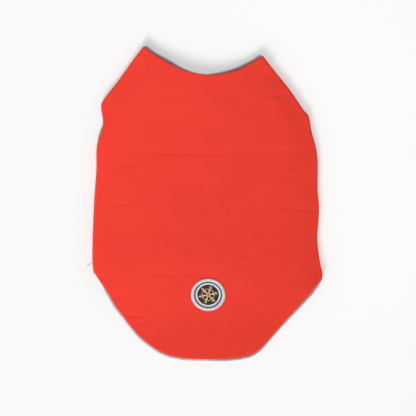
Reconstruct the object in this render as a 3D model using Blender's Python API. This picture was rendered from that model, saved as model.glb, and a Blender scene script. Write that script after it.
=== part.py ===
"""A padded winter coat for a cat, laid flat with its back up and its neck towards +Y.

The coat is a tube of two padded panels, the back panel over the belly panel, joined along both sides.
Three seams quilt the back panel from side to side. Piping edges the neck, the hem and the two leg holes,
and a round badge is sewn on above the tail. Every size below is in millimetres.
"""

from collections import namedtuple

import bmesh
import bpy
import numpy as np
from mathutils import Matrix, Vector
from mathutils.bvhtree import BVHTree

MM = 0.001

BELLY_PAD = 5.5  # thickness of the belly panel
BACK_PAD = 6.5  # thickness of the back panel between its seams
GAP = 0.3  # clearance between pieces that touch
EDGE = 1.0  # thickness of a panel right at a folded side
SIDE_ROLL = 7.0  # width over which a folded side rounds off
RIM_ROLL = 5.0  # width over which an open edge rounds off
TAIL_DROP = 85.0  # length over which the tail comes down from the belly panel to the ground
PIPING = 3.0  # diameter of the piping
PIPING_LIFT = PIPING + GAP  # the back panel's open edge is raised by this over its piping
LIFT_REACH = 9.0  # distance from that edge at which the panel lies flat again
LEG_DEPTH = 30.0  # how far a leg hole cuts into the belly panel
CHEST_END = 0.96  # share of the shoulder's length at which the chest's neck edge begins
BELLY_HEM_BOW = 20.0  # how far the middle of the belly's hem is cut up towards the neck
BELLY_RIM = 2.0  # thickness of the belly panel right at an open edge
BADGE_CENTRE = (0.7, -97.2)
BADGE_STRETCH = 1.06  # the badge is this much wider than it is high
BADGE_GROUND, BADGE_RADIUS = 13.6, 17.5
BADGE_GROUND_THICK, BADGE_BORDER_THICK = 0.9, 1.8

Finish = namedtuple("Finish", "colour roughness")
RED_CLOTH = Finish((0.83, 0.052, 0.035), 0.85)
GREY_PIPING = Finish((0.33, 0.32, 0.33), 0.5)
BLACK_GROUND = Finish((0.012, 0.012, 0.014), 0.8)
PALE_THREAD = Finish((0.58, 0.58, 0.62), 0.6)

Mark = namedtuple("Mark", "x y station")
# The cloth's outline, from the round of the tail up to the neck. A station names the row of the panel there.
LEFT_SIDE = (
    Mark(-26.5, -164.8, "hem_round"),
    Mark(-45.8, -159.7, ""),
    Mark(-64.5, -148.0, ""),
    Mark(-79.2, -133.8, ""),
    Mark(-96.9, -110.1, ""),
    Mark(-104.4, -97.3, ""),
    Mark(-117.9, -77.2, "seam_3"),
    Mark(-121.3, -70.8, "hem_corner"),
    Mark(-122.3, -50.0, ""),
    Mark(-120.5, -0.5, "seam_2"),
    Mark(-118.1, 35.0, ""),
    Mark(-117.7, 58.5, "seam_1"),
    Mark(-112.8, 76.0, ""),
    Mark(-111.0, 86.0, ""),
    Mark(-113.0, 101.5, "shoulder"),
    Mark(-110.3, 109.5, ""),
    Mark(-94.4, 130.0, ""),
    Mark(-79.4, 151.2, ""),
    Mark(-67.8, 166.3, "neck"),
)
RIGHT_SIDE = (
    Mark(35.0, -163.5, "hem_round"),
    Mark(47.7, -160.3, ""),
    Mark(56.0, -155.0, ""),
    Mark(63.7, -146.7, ""),
    Mark(79.2, -129.1, ""),
    Mark(100.7, -105.0, ""),
    Mark(118.4, -84.2, "seam_3"),
    Mark(122.0, -76.0, "hem_corner"),
    Mark(119.0, -60.0, ""),
    Mark(116.6, -38.0, ""),
    Mark(118.4, -7.5, "seam_2"),
    Mark(116.9, 15.0, ""),
    Mark(117.0, 42.0, ""),
    Mark(115.3, 58.0, "seam_1"),
    Mark(110.3, 77.0, ""),
    Mark(108.8, 86.5, ""),
    Mark(106.8, 93.5, "shoulder"),
    Mark(101.5, 99.5, ""),
    Mark(88.0, 119.3, ""),
    Mark(71.0, 140.5, ""),
    Mark(58.6, 156.4, "neck"),
)
NECK = (
    (-67.8, 166.3),
    (-52.0, 155.0),
    (-26.5, 141.8),
    (-1.0, 136.1),
    (24.5, 139.1),
    (44.0, 147.4),
    (58.6, 156.4),
)

Zone = namedtuple("Zone", "start end rows")
BACK_ZONES = (
    Zone("hem_round", "seam_3", 11),
    Zone("seam_3", "seam_2", 10),
    Zone("seam_2", "seam_1", 8),
    Zone("seam_1", "shoulder", 6),
    Zone("shoulder", "neck", 9),
)
BACK_COLUMNS, BELLY_COLUMNS = 32, 22
BELLY_ROWS, LEG_ROWS, CHEST_ROWS = 10, 10, 8

# How the row at a station leaves the straight line between its ends:
# by so much at its middle, and by this share of the curve of the neck.
Arch = namedtuple("Arch", "middle neck")
ARCHES = {
    "hem_round": Arch(-1.7, 0.0),
    "seam_3": Arch(4.5, 0.0),
    "seam_2": Arch(0.5, 0.0),
    "seam_1": Arch(-6.5, 0.0),
    "shoulder": Arch(-4.5, 0.3),
    "neck": Arch(0.0, 1.0),
}

# A quilting seam pulls the padding down by its depth, and by a third of that at its reach.
Quilting = namedtuple("Quilting", "station depth reach")
QUILTING = (
    Quilting("seam_1", 1.3, 5.5),
    Quilting("seam_2", 0.9, 4.5),
    Quilting("seam_3", 0.7, 3.5),
)

Crease = namedtuple("Crease", "x1 y1 x2 y2 depth width")
CREASES = (
    Crease(54.0, 107.0, 90.0, 115.0, 1.0, 5.0),
    Crease(-99.0, 38.0, -58.0, 40.0, 0.8, 5.0),
    Crease(62.0, 38.0, 115.0, 39.0, 0.8, 5.0),
    Crease(3.0, -63.0, 52.0, -54.0, 0.9, 5.0),
    Crease(-86.0, -119.0, -44.0, -120.0, 1.0, 5.0),
)

Shown = namedtuple("Shown", "along width")
# How much of the piping stands out from under the cloth, along each edge from its left end to its right.
NECK_SHOWN = (
    Shown(0.0, 2.6),
    Shown(0.26, 3.0),
    Shown(0.37, 1.4),
    Shown(0.44, 0.4),
    Shown(0.54, 0.4),
    Shown(0.61, 1.6),
    Shown(0.75, 2.6),
    Shown(1.0, 2.6),
)
HEM_SHOWN = (
    Shown(0.0, 0.2),
    Shown(0.07, 1.4),
    Shown(0.34, 1.4),
    Shown(0.4, 0.3),
    Shown(0.5, 0.5),
    Shown(0.56, 2.4),
    Shown(0.63, 2.8),
    Shown(0.7, 1.4),
    Shown(0.78, 1.8),
    Shown(0.93, 2.6),
    Shown(1.0, 0.4),
)
LEG_SHOWN = {
    "left": (Shown(0.0, 0.2), Shown(0.22, 1.3), Shown(0.5, 1.2), Shown(0.65, 0.0), Shown(1.0, 0.0)),
    "right": (Shown(0.0, 0.0), Shown(1.0, 0.0)),
}
# How far the chest's neck edge is cut below the back's, as a share of the way across.
ChestCut = namedtuple("ChestCut", "along below")
CHEST_CUT = (
    ChestCut(0.0, 4.5),
    ChestCut(0.1, -0.2),
    ChestCut(0.16, -1.4),
    ChestCut(0.25, -1.2),
    ChestCut(0.33, 3.0),
    ChestCut(0.5, 8.0),
    ChestCut(0.8, 6.5),
    ChestCut(1.0, 6.0),
)


def clear_scene():
    for old in list(bpy.data.objects):
        bpy.data.objects.remove(old, do_unlink=True)


def collection(name):
    made = bpy.data.collections.new(name)
    bpy.context.scene.collection.children.link(made)
    return made


def material(name, finish):
    made = bpy.data.materials.new(name)
    made.use_nodes = True
    shader = made.node_tree.nodes["Principled BSDF"]
    shader.inputs["Base Color"].default_value = (*finish.colour, 1.0)
    shader.inputs["Roughness"].default_value = finish.roughness
    shader.inputs["Metallic"].default_value = 0.0
    return made


# Lines and distances in the plane of the coat


def smooth(share):
    """0 to 1 with level ends."""
    share = np.clip(share, 0.0, 1.0)
    return share * share * (3 - 2 * share)


def crowded_ends(count):
    """Shares from 0 to 1 in count steps that close up towards both ends."""
    return 0.5 - 0.5 * np.cos(np.pi * np.arange(count + 1) / count)


def curve_through(points, steps=10):
    """A smooth line through the points, steps pieces between each two of them."""
    points = np.array(points, float)
    ends = [2 * points[0] - points[1]], [2 * points[-1] - points[-2]]
    padded = np.concatenate([ends[0], points, ends[1]])
    share = np.linspace(0, 1, steps, endpoint=False)[:, None]
    pieces = []
    for before, start, end, after in zip(padded, padded[1:], padded[2:], padded[3:]):
        slope_in, slope_out = (end - before) / 2, (after - start) / 2
        pieces.append(
            (2 * share**3 - 3 * share**2 + 1) * start
            + (share**3 - 2 * share**2 + share) * slope_in
            + (3 * share**2 - 2 * share**3) * end
            + (share**3 - share**2) * slope_out
        )
    return np.concatenate([*pieces, points[-1:]])


def at_shares(line, shares):
    """Points of a line at these shares of its length."""
    lengths = np.linalg.norm(np.diff(line, axis=0), axis=1)
    along = np.concatenate([[0], np.cumsum(lengths)])
    along /= along[-1]
    return np.stack([np.interp(shares, along, column) for column in line.T], axis=1)


def along_side(side, start, end):
    """The stretch of a side's outline from one station to another."""
    names = [mark.station for mark in side]
    line = curve_through([(mark.x, mark.y) for mark in side])
    steps = (len(line) - 1) // (len(side) - 1)
    return line[names.index(start) * steps : names.index(end) * steps + 1]


def distance_to(line, xy):
    """How far each point of xy lies from a line."""
    start, run = line[:-1], np.diff(line, axis=0)
    from_start = xy[:, None] - start
    share = (from_start * run).sum(2) / np.maximum((run * run).sum(1), 1e-12)
    nearest = from_start - np.clip(share, 0, 1)[..., None] * run
    return np.sqrt((nearest * nearest).sum(2).min(1))


def moved_out(line, distances):
    """A line moved sideways by these distances, to its left as it is followed."""
    run = np.gradient(line, axis=0)
    run /= np.linalg.norm(run, axis=1)[:, None]
    left = np.stack([-run[:, 1], run[:, 0]], axis=1)
    return line + left * np.asarray(distances)[..., None]


def bow(share, middle):
    """A low arch that is 0 at both ends and as high as its middle says."""
    return middle * 4 * share * (1 - share)


def across(left, right, share, rise):
    """A row of points from left to right, each raised from the straight line by its rise."""
    row = left + (right - left) * share[:, None]
    row[:, 1] += rise
    return row


# The rows of the two panels


def station_rise(station, share):
    """How far the row at a station stands above the straight line between its ends."""
    line = neck_line()
    line_share = (line[:, 0] - line[0, 0]) / (line[-1, 0] - line[0, 0])
    straight = line[0, 1] + (line[-1, 1] - line[0, 1]) * line_share
    neck = np.interp(share, line_share, line[:, 1] - straight)
    arch = ARCHES[station]
    return bow(share, arch.middle) + neck * arch.neck


def back_rows(columns):
    """The back panel's rows of points, from the tail to the neck."""
    share = crowded_ends(columns)
    rows = []
    for zone in BACK_ZONES:
        steps = crowded_ends(zone.rows)
        left = at_shares(along_side(LEFT_SIDE, zone.start, zone.end), steps)
        right = at_shares(along_side(RIGHT_SIDE, zone.start, zone.end), steps)
        low, high = station_rise(zone.start, share), station_rise(zone.end, share)
        zone_rows = [
            across(start, end, share, low + (high - low) * step)
            for start, end, step in zip(left, right, steps)
        ]
        rows += zone_rows if zone.end == "neck" else zone_rows[:-1]
    return np.array(rows)


def station_row(station):
    """The row of points at a station."""
    left, right = (along_side(side, station, "neck")[0] for side in (LEFT_SIDE, RIGHT_SIDE))
    share = np.linspace(0, 1, 25)
    return across(left, right, share, station_rise(station, share))


def hem_line():
    """The tail's edge, from the left hem corner round to the right one."""
    left = along_side(LEFT_SIDE, "hem_round", "hem_corner")[::-1]
    right = along_side(RIGHT_SIDE, "hem_round", "hem_corner")
    return np.concatenate([left, station_row("hem_round")[1:-1], right])


def neck_line():
    return curve_through(NECK)


def leg_cut(side):
    """The edge of a leg hole in the belly panel, from its low end to its high end."""
    low, *_, high = along_side(side, "seam_1", "shoulder")
    along = (high - low) / 2
    inwards = np.array([-np.sign(low[0]), 0.0])
    turn = np.pi * np.linspace(0, 1, LEG_ROWS + 1)[:, None]
    return (low + high) / 2 - along * np.cos(turn) + inwards * LEG_DEPTH * np.sin(turn)


def chest_neck_line():
    """The belly panel's neck edge, from left to right."""
    left, right = (shoulder_run(side)[-1] for side in (LEFT_SIDE, RIGHT_SIDE))
    share = np.linspace(0, 1, 33)
    back = neck_line()
    x = left[0] + (right[0] - left[0]) * share
    below = np.interp(share, [cut.along for cut in CHEST_CUT], [cut.below for cut in CHEST_CUT])
    line = np.stack([x, np.interp(x, back[:, 0], back[:, 1]) - below], axis=1)
    return np.concatenate([[left], curve_through(line[2:-2:3], 4), [right]])


def shoulder_run(side):
    """The folded edge from a leg hole to where the chest's neck edge begins."""
    run = along_side(side, "shoulder", "neck")
    return at_shares(run, np.linspace(0, CHEST_END, 30))


def belly_side(side):
    """The folded edge from the belly's hem, a little above the tail's, up to a leg hole."""
    return along_side(side, "hem_corner", "seam_1")[1:]


def belly_hem_line():
    """The belly panel's hem, from left to right."""
    left, right = (belly_side(side)[0] for side in (LEFT_SIDE, RIGHT_SIDE))
    share = np.linspace(0, 1, 25)
    return across(left, right, share, bow(share, BELLY_HEM_BOW))


def belly_rows(columns):
    """The belly panel's rows of points, from its hem past the leg holes to the neck."""
    share = crowded_ends(columns)
    steps = crowded_ends(BELLY_ROWS)
    left, right = (at_shares(belly_side(side), steps) for side in (LEFT_SIDE, RIGHT_SIDE))
    rows = [
        across(start, end, share, bow(share, BELLY_HEM_BOW * (1 - step)))
        for start, end, step in zip(left, right, steps)
    ][:-1]
    rows += [across(start, end, share, 0) for start, end in zip(leg_cut(LEFT_SIDE), leg_cut(RIGHT_SIDE))]
    steps = crowded_ends(CHEST_ROWS)
    left, right = (at_shares(shoulder_run(side), steps) for side in (LEFT_SIDE, RIGHT_SIDE))
    chest = at_shares(chest_neck_line(), share)
    chest_rise = chest - across(chest[0], chest[-1], share, 0)
    rows += [
        across(start, end, share, 0) + chest_rise * step
        for start, end, step in zip(left, right, steps)
    ][1:]
    return np.array(rows)


# Heights above the ground


def quarter_round(distance, reach):
    left = 1 - np.clip(distance / reach, 0, 1)
    return np.sqrt(1 - left * left)


def rest_height(xy):
    """The level that the back panel lies at: on the belly panel, and down to the ground at the tail."""
    hem = belly_hem_line()
    below = np.interp(xy[:, 0], hem[:, 0], hem[:, 1]) - xy[:, 1]
    return (BELLY_PAD + GAP) * (1 - smooth(below / TAIL_DROP))


def piping_lift(xy):
    """How far the back panel is raised over the piping of its open edges."""
    open_edge = np.minimum(distance_to(hem_line(), xy), distance_to(neck_line(), xy))
    return PIPING_LIFT * (1 - smooth((open_edge - PIPING_LIFT) / (LIFT_REACH - PIPING_LIFT)))


def crease_depth(xy):
    """The hand-placed creases: troughs that fade towards their ends."""
    depth = np.zeros(len(xy))
    for crease in CREASES:
        start = np.array([crease.x1, crease.y1])
        run = np.array([crease.x2, crease.y2]) - start
        along = ((xy - start) @ run) / (run @ run)
        line = np.array([start, start + run])
        fade = smooth(np.minimum(along, 1 - along) * 4)
        depth += crease.depth * fade * np.exp(-((distance_to(line, xy) / crease.width) ** 2))
    return depth


def back_under(xy):
    return rest_height(xy) + piping_lift(xy)


def back_top(xy):
    """The back panel's upper face: padding pulled down along the seams and rounded off at the edges."""
    padding = BACK_PAD - crease_depth(xy)
    for seam in QUILTING:
        padding -= seam.depth * np.exp(-distance_to(station_row(seam.station), xy) / seam.reach)
    folded = [along_side(side, "hem_corner", "neck") for side in (LEFT_SIDE, RIGHT_SIDE)]
    from_fold = np.min([distance_to(line, xy) for line in folded], axis=0)
    from_rim = np.minimum(distance_to(hem_line(), xy), distance_to(neck_line(), xy))
    fullness = np.minimum(quarter_round(from_fold, SIDE_ROLL), quarter_round(from_rim, RIM_ROLL))
    rim = piping_lift(xy) + EDGE
    return rest_height(xy) + rim + (padding - rim) * fullness


def belly_open_edges():
    return [belly_hem_line(), chest_neck_line(), leg_cut(LEFT_SIDE), leg_cut(RIGHT_SIDE)]


def belly_folds():
    return [run(side) for run in (belly_side, shoulder_run) for side in (LEFT_SIDE, RIGHT_SIDE)]


def belly_rim_round(xy):
    """How far each face of the belly panel closes in towards its open edges."""
    from_rim = np.min([distance_to(line, xy) for line in belly_open_edges()], axis=0)
    return (BELLY_PAD - BELLY_RIM) / 2 * (1 - quarter_round(from_rim, RIM_ROLL))


def belly_under(xy):
    """The belly panel's lower face: flat on the ground, and rounded up at its edges."""
    from_fold = np.min([distance_to(line, xy) for line in belly_folds()], axis=0)
    fold = (BELLY_PAD - EDGE) * (1 - quarter_round(from_fold, SIDE_ROLL))
    return np.maximum(fold, belly_rim_round(xy))


def belly_top(xy):
    return BELLY_PAD - belly_rim_round(xy)


# Making the solids


def sheet_of(rows):
    """A flat sheet of quads through rows of points."""
    last_row, last_column = rows.shape[0] - 1, rows.shape[1] - 1
    sheet = bmesh.new()
    bmesh.ops.create_grid(sheet, x_segments=last_column, y_segments=last_row, size=0.5)
    for vertex in sheet.verts:
        column = round((vertex.co.x + 0.5) * last_column)
        row = round((vertex.co.y + 0.5) * last_row)
        vertex.co = (*rows[row, column], 0)
    return sheet


def round_sheet(radii, segments=28):
    """A flat ring between the largest and smallest of radii, or a disc if the smallest is 0."""
    sheet = bmesh.new()
    bmesh.ops.create_circle(sheet, cap_ends=True, segments=segments, radius=radii[0])
    sheet.faces.ensure_lookup_table()
    middle = sheet.faces[0]
    for outer, inner in zip(radii, radii[1:]):
        if inner:
            bmesh.ops.inset_region(sheet, faces=[middle], thickness=outer - inner, use_boundary=True)
    if radii[-1]:
        bmesh.ops.delete(sheet, geom=[middle], context="FACES_ONLY")
    else:
        bmesh.ops.poke(sheet, faces=[middle])
    for vertex in sheet.verts:
        vertex.co.x = vertex.co.x * BADGE_STRETCH + BADGE_CENTRE[0]
        vertex.co.y += BADGE_CENTRE[1]
    return sheet


def lay(points, height):
    """Moves points to the height worked out for each."""
    xy = np.array([vertex.co.xy for vertex in points])
    for vertex, z in zip(points, height(xy)):
        vertex.co.z = z


def padded_solid(name, sheet, under, top, finish, parent):
    """A closed solid between a lower and an upper face, both worked out over the same flat sheet."""
    lower = sheet.verts[:]
    raised = bmesh.ops.extrude_face_region(sheet, geom=sheet.faces[:], use_keep_orig=True)["geom"]
    lay(lower, under)
    lay([item for item in raised if isinstance(item, bmesh.types.BMVert)], top)
    bmesh.ops.recalc_face_normals(sheet, faces=sheet.faces)
    if sheet.calc_volume(signed=True) < 0:
        bmesh.ops.reverse_faces(sheet, faces=sheet.faces)
    bmesh.ops.scale(sheet, vec=(MM, MM, MM), verts=sheet.verts)
    mesh = bpy.data.meshes.new(name)
    sheet.to_mesh(mesh)
    sheet.free()
    return placed(name, mesh, finish, parent)


def placed(name, data, finish, parent):
    made = bpy.data.objects.new(name, data)
    data.materials.append(material(name + "_finish", finish))
    parent.objects.link(made)
    return made


def tube(name, path, parent, closed=False):
    """A round tube of piping along a path of points in space."""
    curve = bpy.data.curves.new(name, "CURVE")
    curve.dimensions = "3D"
    curve.bevel_depth = PIPING / 2 * MM
    curve.bevel_resolution = 2
    curve.use_fill_caps = not closed
    spline = curve.splines.new("POLY")
    spline.points.add(len(path) - 1)
    for point, place in zip(spline.points, path):
        point.co = (*(place * MM), 1.0)
    spline.use_cyclic_u = closed
    return placed(name, curve, GREY_PIPING, parent)


def shown_widths(table, shares):
    return np.interp(shares, [row.along for row in table], [row.width for row in table])


def piping_under_edge(name, edge, shown, count, outwards, parent):
    """Piping that lies under the back panel's raised edge and stands out by the widths shown."""
    shares = np.linspace(0.01, 0.99, count)
    line = moved_out(at_shares(edge, shares), outwards * (shown_widths(shown, shares) - PIPING / 2))
    level = rest_height(line) + PIPING / 2
    return tube(name, np.column_stack([line, level]), parent)


def piping_beside_belly(name, row, outwards, parent):
    """Piping along the first or the last row of the belly panel's points."""
    line = moved_out(row, outwards * (PIPING / 2 + GAP))[1:-1]
    level = np.full(len(line), BELLY_PAD / 2)
    return tube(name, np.column_stack([line, level]), parent)


def leg_piping(word, side, parent):
    """A closed loop of piping: round the cut in the belly panel, and back under the back panel's side."""
    cut = leg_cut(side)
    outwards = np.sign(cut[0, 0])
    inner = moved_out(cut, -outwards * (PIPING / 2 + GAP))[1:-1]
    shares = np.linspace(0.95, 0.05, 8)
    outline = at_shares(along_side(side, "seam_1", "shoulder"), shares)
    shown = shown_widths(LEG_SHOWN[word], shares)
    outer = outline + outwards * np.column_stack([shown - PIPING / 2, 0 * shown])
    loop = np.concatenate([inner, outer])
    level = np.full(len(loop), BELLY_PAD - PIPING / 2)
    return tube("leg_piping_" + word, np.column_stack([loop, level]), parent, closed=True)


def surface_height(panel):
    """The height of a panel's upper face under any point, read from the panel's own mesh."""
    tree = BVHTree.FromObject(panel, bpy.context.evaluated_depsgraph_get())

    def height(xy):
        start = 100 * MM
        hits = [tree.ray_cast(Vector((x * MM, y * MM, start)), Vector((0, 0, -1)))[0] for x, y in xy]
        return np.array([hit.z for hit in hits]) / MM

    return height


def badge(panel, parent):
    """The badge lies on the back panel: a woven ground inside a stitched border."""
    height = surface_height(panel)
    inner = BADGE_GROUND + GAP

    def under(xy):
        return height(xy) + GAP

    def ground_top(xy):
        return under(xy) + BADGE_GROUND_THICK

    def border_top(xy):
        from_centre = np.linalg.norm((xy - BADGE_CENTRE) / (BADGE_STRETCH, 1), axis=1)
        share = np.clip((from_centre - inner) / (BADGE_RADIUS - inner), 0, 1)
        return under(xy) + BADGE_BORDER_THICK * (0.4 + 0.6 * np.sin(np.pi * share))

    ground = round_sheet([BADGE_GROUND, 12.0, 8.0, 4.0, 0.0])
    border = round_sheet(list(np.linspace(BADGE_RADIUS, inner, 5)))
    padded_solid("badge_disc", ground, under, ground_top, BLACK_GROUND, parent)
    padded_solid("badge_border", border, under, border_top, PALE_THREAD, parent)


def centre(parts):
    """Moves all the parts alike, so that the middle of the box round them is over the origin."""
    graph = bpy.context.evaluated_depsgraph_get()
    points = np.array([point.co for part in parts for point in part.evaluated_get(graph).to_mesh().vertices])
    middle = (points.min(axis=0) + points.max(axis=0)) / 2
    for part in parts:
        part.data.transform(Matrix.Translation((-middle[0], -middle[1], 0)))


def build():
    clear_scene()
    coat = collection("cat_coat")
    belly = belly_rows(BELLY_COLUMNS)
    back_sheet = sheet_of(back_rows(BACK_COLUMNS))
    back = padded_solid("back_panel", back_sheet, back_under, back_top, RED_CLOTH, coat)
    padded_solid("belly_panel", sheet_of(belly), belly_under, belly_top, RED_CLOTH, coat)
    piping_under_edge("neck_piping_back", neck_line(), NECK_SHOWN, 24, 1, coat)
    piping_under_edge("hem_piping", hem_line(), HEM_SHOWN, 52, -1, coat)
    piping_beside_belly("neck_piping_chest", belly[-1], 1, coat)
    piping_beside_belly("belly_hem_piping", belly[0], -1, coat)
    leg_piping("left", LEFT_SIDE, coat)
    leg_piping("right", RIGHT_SIDE, coat)
    badge(back, coat)
    centre(coat.objects)


build()
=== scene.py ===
"""A padded winter coat for a cat, laid flat with its back up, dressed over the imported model.

The panels, piping and badge are made again here at a fine grain, from the same marks and rows as the solids.
Sizes are in millimetres. Marks are measured from the photograph's middle, and the badge's solid shows how far
that is from the frame's origin.
"""

import math

import bmesh
import bpy
import numpy as np
from mathutils import Matrix, Vector, noise


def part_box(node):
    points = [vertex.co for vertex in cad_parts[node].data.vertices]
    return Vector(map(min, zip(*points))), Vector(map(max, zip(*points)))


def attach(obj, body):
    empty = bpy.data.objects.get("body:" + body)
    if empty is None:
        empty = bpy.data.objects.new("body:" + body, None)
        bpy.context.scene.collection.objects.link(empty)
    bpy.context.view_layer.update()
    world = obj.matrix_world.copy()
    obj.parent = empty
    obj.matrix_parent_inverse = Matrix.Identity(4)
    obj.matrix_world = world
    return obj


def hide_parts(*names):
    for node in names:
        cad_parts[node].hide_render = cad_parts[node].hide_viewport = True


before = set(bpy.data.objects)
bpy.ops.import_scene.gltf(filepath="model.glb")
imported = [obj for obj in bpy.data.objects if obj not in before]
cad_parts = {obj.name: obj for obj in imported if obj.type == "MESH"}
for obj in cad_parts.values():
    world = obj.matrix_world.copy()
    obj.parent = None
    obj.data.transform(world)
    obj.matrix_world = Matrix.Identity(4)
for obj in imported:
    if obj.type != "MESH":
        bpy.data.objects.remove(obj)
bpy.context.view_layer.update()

MM = 0.001

BELLY_PAD = 5.5  # thickness of the belly panel
BACK_PAD = 6.5  # thickness of the back panel between its seams
GAP = 0.3  # clearance between pieces that touch
SIDE_ROLL = 3.0  # width over which a folded side rounds off
RIM_ROLL = 1.2  # width over which an open edge rounds off
TUCK = 0.4  # how far a panel's edge is drawn back into the seam
CORNER_TURN = 4  # points each side of a corner over which its direction turns
TAIL_DROP = 85.0  # length over which the tail comes down to the ground
PIPING = 3.0  # diameter of the piping
PIPING_LIFT = PIPING + GAP  # width beside an open edge that lies on the piping
PIPING_SPACING = 0.8  # length of a step along it
LIFT_REACH = 9.0  # distance from the edge at which the panel lies flat again
LEG_DEPTH = 30.0  # how far a leg hole cuts into the belly panel
CHEST_END = 0.96  # share of the shoulder's length at which the chest's neck edge begins
BELLY_HEM_BOW = 20.0  # how far up the middle of the belly's hem is cut
BELLY_RIM = 2.0  # thickness of the belly panel at an open edge
BACK_THIN = 1.0  # thickness of the back panel where it is pressed flattest
BADGE_CENTRE = (0.7, -97.2)
BADGE_STRETCH = 1.06  # width over height
BADGE_RADIUS = 17.5
BADGE_TILT = math.radians(12)
RING_REACH = (10.7, 12.8)  # inner and outer radius of the badge's pale ring
RING_SLANT = 0.03
BORDER_WIDTH, BORDER_THREAD, BORDER_WRAPS = 3.9, 0.9, 116
WRAP_SLANT, WRAP_FLATNESS = math.radians(22), 0.75
WRAPPED = 1.6  # the border is this many threads wider than its filling cord
FILLING_FLATNESS = 0.7
# How high the border's middle and the woven ground's lower and upper faces lie above the back's cloth.
BORDER_LIFT, UNDER_GROUND, GROUND_LIFT = 0.3, 0.1, 0.9
SATIN_PITCH, SATIN_THREAD = 0.34, 0.4  # spacing and thickness of its satin stitches
SATIN_LIFT = 0.05  # how high they lie above its ground
ARM_REACH, ARM_WIDTHS = (2.6, 9.6), (1.3, 0.8)  # of the snowflake, from its middle outwards
TWIGS = ((4.6, 3.0, 1.2), (7.2, 1.9, 0.9))  # foot, length and width, on both sides of each arm
TWIG_START, TWIG_TAPER = 0.22, 0.7
HEXAGON_RADIUS, HEXAGON_WIDTH = 1.75, 1.5  # of the snowflake's middle
STITCH_PITCH, STITCH_LENGTH, STITCH_THREAD = 3.2, 2.5, 0.3  # of the quilting seams
STITCH_SINK = 0.04  # how far they sink into the cloth

# The cloth's outline as X and Y, from the tail up to the neck. A word names the panel's row there.
LEFT_SIDE = (
    (-26.5, -164.8, "hem_round"), (-45.8, -159.7), (-64.5, -148), (-79.2, -133.8), (-96.9, -110.1),
    (-104.4, -97.3), (-117.9, -77.2, "seam_3"), (-121.3, -70.8, "hem_corner"), (-122.3, -50),
    (-120.5, -0.5, "seam_2"), (-118.1, 35), (-117.7, 58.5, "seam_1"), (-112.8, 76), (-111, 86),
    (-113, 101.5, "shoulder"), (-110.3, 109.5), (-94.4, 130), (-79.4, 151.2), (-67.8, 166.3, "neck"),
)
RIGHT_SIDE = (
    (35, -163.5, "hem_round"), (47.7, -160.3), (56, -155), (63.7, -146.7), (79.2, -129.1),
    (100.7, -105), (118.4, -84.2, "seam_3"), (122, -76, "hem_corner"), (119, -60), (116.6, -38),
    (118.4, -7.5, "seam_2"), (116.9, 15), (117, 42), (115.3, 58, "seam_1"), (110.3, 77), (108.8, 86.5),
    (106.8, 93.5, "shoulder"), (101.5, 99.5), (88, 119.3), (71, 140.5), (58.6, 156.4, "neck"),
)
SIDES = (LEFT_SIDE, RIGHT_SIDE)
NECK = ((-67.8, 166.3), (-52, 155), (-26.5, 141.8), (-1, 136.1), (24.5, 139.1), (44, 147.4), (58.6, 156.4))

# The zones of the back's rows: start, end and number of rows.
BACK_ZONES = (
    ("hem_round", "seam_3", 75), ("seam_3", "seam_2", 69), ("seam_2", "seam_1", 57),
    ("seam_1", "shoulder", 42), ("shoulder", "neck", 57),
)
BACK_COLUMNS, BELLY_COLUMNS = 234, 180
BELLY_ROWS, LEG_ROWS, CHEST_ROWS = 108, 36, 54
HIDDEN_STEP = 3  # a panel's hidden face has one row for so many of its shown one
COLUMNS_WIDTH = 236.4  # width over which the columns are spaced
CROWDED_WITHIN = 3.0  # distance from a seam or edge within which rows close up
CROWDING = 5.0  # how many times closer they are there
LINE_POINTS = 25  # points of a plain row, such as a seam

# How a row leaves the straight line between its ends: by this much at its middle, and by this share of the
# curve of the neck.
ARCHES = {
    "hem_round": (-1.7, 0), "seam_3": (4.5, 0), "seam_2": (0.5, 0), "seam_1": (-6.5, 0),
    "shoulder": (-4.5, 0.3), "neck": (0, 1),
}

# Each seam's reach, at which it pulls by a third of its depth, and as shares of its depth its groove at the
# stitches and its ridge on the tail side.
QUILTING = {"seam_1": (5.8, 0.35, 0), "seam_2": (4.8, 0.9, 0), "seam_3": (2.5, 1.4, 1.3)}
# Each seam's depth by X. It dies away where the cloth is pulled smooth.
SEAM_DEPTHS = {
    "seam_1": (
        (-105, 0.04), (-74, 0.08), (-60, 0.3), (-36, 0.4), (6, 0.6), (30, 0.55), (42, 0.36), (72, 0.34),
        (100, 0.46),
    ),
    "seam_2": (
        (-110, 0.04), (-89, 0.2), (-68, 0.14), (-55, 0.08), (-5, 0.07), (8, 0.12), (28, 0.12),
        (38, 0.03), (50, 0.1), (80, 0.16), (90, 0.29), (102, 0.36), (114, 0.3),
    ),
    "seam_3": ((-112, 0.06), (-100, 0), (-66, 0), (-56, 0.1), (-18, 0.11), (20, 0.03), (52, 0.04), (64, 0)),
}
GROOVE_WIDTH = 0.6
SEAM_ROUND = 1.0  # radius of the turn at a seam's bottom
RIDGE_WIDTH, RIDGE_BELOW = 2.6, 2.8
PUCKER_HEIGHT, PUCKER_SHARE = 0.07, 0.25  # the second is what a seam's depth adds
PUCKER_START, PUCKER_REACH = 1.2, 6.0  # distances over which puckers rise and fade
PUCKER_SLANT = 0.12

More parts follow.
